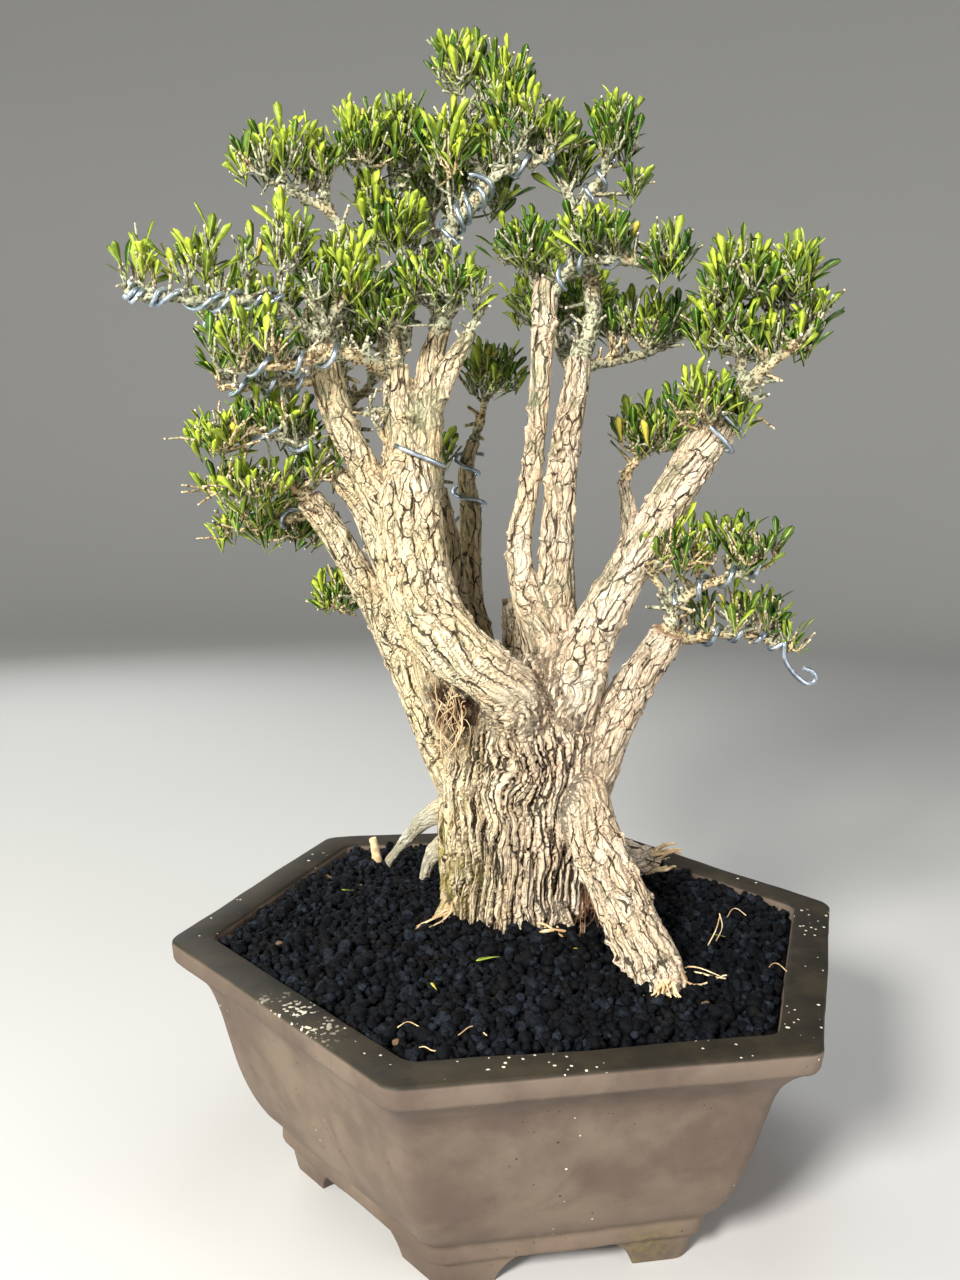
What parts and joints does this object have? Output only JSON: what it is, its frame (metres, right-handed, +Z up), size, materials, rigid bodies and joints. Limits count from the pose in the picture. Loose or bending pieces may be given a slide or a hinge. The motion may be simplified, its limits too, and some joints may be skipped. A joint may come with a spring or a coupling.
{
  "type": "boxwood bonsai in a pot",
  "caption": "Broad-crowned boxwood bonsai with a gnarled pale trunk, prop root, wired branches and clipped leaf pads, in an unglazed hexagonal pot.",
  "frame": {"origin": "on the surface that the pot's feet stand on, at the middle of the whole object's box", "axes": "+Z up, +X to the right seen from the tree's front, front towards -Y"},
  "size_m": [0.366, 0.345, 0.5766],
  "materials": {
    "pot": "matte",
    "drain_screen": "matte",
    "soil": "matte",
    "bark": "matte",
    "wire": "satin",
    "foliage": "satin"
  },
  "bodies": {
    "root": {"pot": "pot", "drain_screen": "drain_screen", "soil": "soil", "trunk": "bark", "dead_stub": "bark", "wire_far_left": "wire", "wire_far_left_twin": "wire", "wire_left_second": "wire", "wire_left_third": "wire", "wire_left_fourth": "wire", "wire_left_lower": "wire", "wire_left_hanging": "wire", "wire_apex": "wire", "wire_apex_twin": "wire", "wire_apex_right": "wire", "wire_right_top": "wire", "wire_middle": "wire", "wire_h_end": "wire", "wire_right_shelf": "wire", "wire_right_low": "wire", "wire_back_centre": "wire", "wire_cut_end": "wire", "spray_far_left": "foliage", "spray_left_second": "foliage", "spray_left_third": "foliage", "spray_left_fourth": "foliage", "spray_left_lower": "foliage", "spray_left_cut_end": "foliage", "spray_left_hanging": "foliage", "spray_left_inner": "foliage", "spray_d_top": "foliage", "spray_a_left": "foliage", "spray_a_front": "foliage", "spray_crown_left": "foliage", "spray_upper_left": "foliage", "spray_apex": "foliage", "spray_crown_back": "foliage", "spray_right_top": "foliage", "spray_middle": "foliage", "spray_middle_right": "foliage", "spray_right_big": "foliage", "spray_h_front": "foliage", "spray_h_tip": "foliage", "spray_right_back": "foliage", "spray_right_shelf": "foliage", "spray_right_low": "foliage", "spray_back_centre": "foliage", "spray_stub_shoot": "foliage", "spray_back_upper": "foliage", "spray_back_left": "foliage"}
  },
  "joints": []
}
